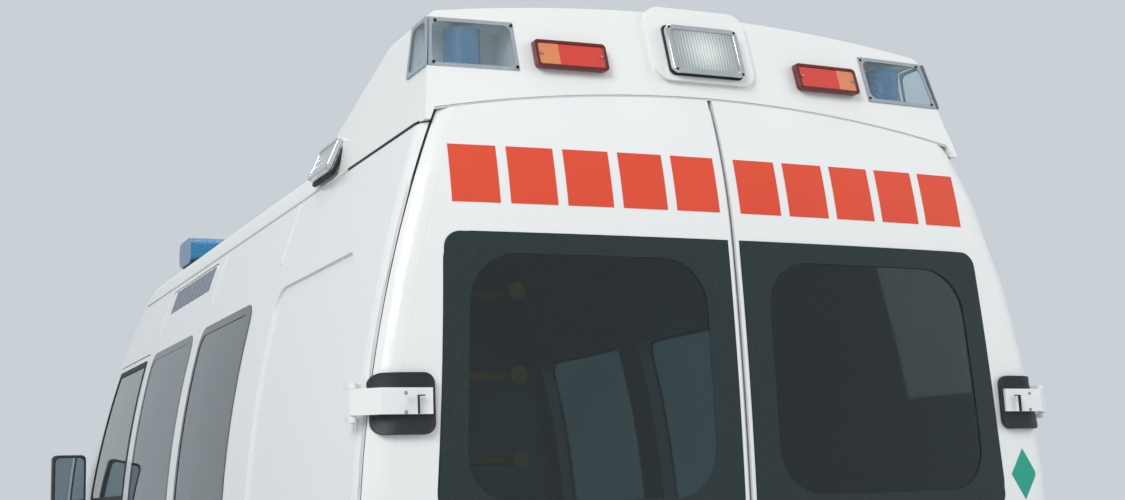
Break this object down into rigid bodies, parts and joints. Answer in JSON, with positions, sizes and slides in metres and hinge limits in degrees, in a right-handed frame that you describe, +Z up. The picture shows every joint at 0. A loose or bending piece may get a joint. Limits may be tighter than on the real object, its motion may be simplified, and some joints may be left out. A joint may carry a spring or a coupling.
{
  "type": "ambulance van",
  "caption": "High-roof van ambulance with steered front wheels, opening cab doors, rear doors and bonnet, blue roof lights and a load space behind the cab.",
  "frame": {"origin": "on the ground, under the middle of the bounding box", "axes": "+Y forwards along the vehicle, +X to its right, +Z up"},
  "size_m": [2.368, 5.4998, 2.6679],
  "materials": {
    "body_paint": "gloss white",
    "roof_gelcoat": "gloss white moulding",
    "clear_glass": "clear with a green tint",
    "tinted_glass": "near-black tint",
    "dark_trim": "grained",
    "lamp_lens": "clear fluted lens",
    "red_lens": "clear red lens",
    "lamp_cover": "clear",
    "blue_lens": "clear blue lens",
    "mirror_housing": "grained black",
    "step_aluminium": "chequer plate",
    "chassis_paint": "satin black",
    "interior_panel": "smooth",
    "seat_fabric": "woven",
    "cast_metal": "as cast",
    "bare_steel": "dull",
    "tyre_rubber": "matt",
    "wheel_paint": "silver"
  },
  "bodies": {
    "vehicle": {"bulkhead": "interior_panel", "cab_shell": "body_paint", "corner_beacons": "blue_lens", "corner_light_covers": "lamp_cover", "dashboard": "dark_trim", "engine_block": "cast_metal", "floor": "chassis_paint", "front_bumper": "dark_trim", "front_subframe": "chassis_paint", "front_wings": "body_paint", "grille": "dark_trim", "headlamps": "lamp_lens", "light_bar": "blue_lens", "lockers": "interior_panel", "rear_axle": "chassis_paint", "rear_lamps": "red_lens", "rear_step": "step_aluminium", "roof_cap": "roof_gelcoat", "scene_lamps": "lamp_lens", "seats": "seat_fabric", "side_panel_left": "body_paint", "side_panel_right": "body_paint", "side_windows": "tinted_glass", "sliding_door": "body_paint", "tank_and_exhaust": "bare_steel", "windscreen": "clear_glass"},
    "cab_door_left_body": {"cab_door_left": "body_paint", "cab_glass_left": "clear_glass", "mirror_left": "mirror_housing"},
    "cab_door_right_body": {"cab_door_right": "body_paint", "cab_glass_right": "clear_glass", "mirror_right": "mirror_housing"},
    "rear_door_left_body": {"rear_door_left": "body_paint", "rear_window_left": "tinted_glass"},
    "rear_door_right_body": {"rear_door_right": "body_paint", "rear_window_right": "tinted_glass"},
    "bonnet_body": {"bonnet": "body_paint"},
    "steering_left": {"knuckle_left": "cast_metal"},
    "steering_right": {"knuckle_right": "cast_metal"},
    "wheel_front_left": {"tyre_front_left": "tyre_rubber", "rim_front_left": "wheel_paint"},
    "wheel_front_right": {"tyre_front_right": "tyre_rubber", "rim_front_right": "wheel_paint"},
    "wheel_rear_left": {"tyre_rear_left": "tyre_rubber", "rim_rear_left": "wheel_paint"},
    "wheel_rear_right": {"tyre_rear_right": "tyre_rubber", "rim_rear_right": "wheel_paint"}
  },
  "joints": [
    {"name": "cab_door_left_hinge", "type": "hinge", "parent": "vehicle", "child": "cab_door_left_body", "pos_m": [-1.016, 1.747, 1.035], "axis": [0, 0, -1], "range_deg": [0, 70]},
    {"name": "cab_door_right_hinge", "type": "hinge", "parent": "vehicle", "child": "cab_door_right_body", "pos_m": [1.016, 1.747, 1.035], "axis": [0, 0, 1], "range_deg": [0, 70]},
    {"name": "rear_door_left_hinge", "type": "hinge", "parent": "vehicle", "child": "rear_door_left_body", "pos_m": [-1.009, -2.606, 1.1385], "axis": [0, 0, -1], "range_deg": [0, 180]},
    {"name": "rear_door_right_hinge", "type": "hinge", "parent": "vehicle", "child": "rear_door_right_body", "pos_m": [1.009, -2.606, 1.1385], "axis": [0, 0, 1], "range_deg": [0, 180]},
    {"name": "bonnet_hinge", "type": "hinge", "parent": "vehicle", "child": "bonnet_body", "pos_m": [0, 2.221, 1.258], "axis": [1, 0, 0], "range_deg": [0, 50]},
    {"name": "steering_left_kingpin", "type": "hinge", "parent": "vehicle", "child": "steering_left", "pos_m": [-0.82, 1.89, 0.349], "axis": [0, 0, 1], "range_deg": [-33, 33]},
    {"name": "steering_right_kingpin", "type": "hinge", "parent": "vehicle", "child": "steering_right", "pos_m": [0.82, 1.89, 0.349], "axis": [0, 0, 1], "range_deg": [-33, 33]},
    {"name": "wheel_front_left_roll", "type": "hinge", "parent": "steering_left", "child": "wheel_front_left", "pos_m": [-0.875, 1.89, 0.349], "axis": [-1, 0, 0], "continuous": true},
    {"name": "wheel_rear_left_roll", "type": "hinge", "parent": "vehicle", "child": "wheel_rear_left", "pos_m": [-0.862, -1.688, 0.349], "axis": [-1, 0, 0], "continuous": true},
    {"name": "wheel_front_right_roll", "type": "hinge", "parent": "steering_right", "child": "wheel_front_right", "pos_m": [0.875, 1.89, 0.349], "axis": [-1, 0, 0], "continuous": true},
    {"name": "wheel_rear_right_roll", "type": "hinge", "parent": "vehicle", "child": "wheel_rear_right", "pos_m": [0.862, -1.688, 0.349], "axis": [-1, 0, 0], "continuous": true}
  ],
  "couplings": [
    {"joint": "steering_right_kingpin", "follows": "steering_left_kingpin", "ratio": 1}
  ]
}
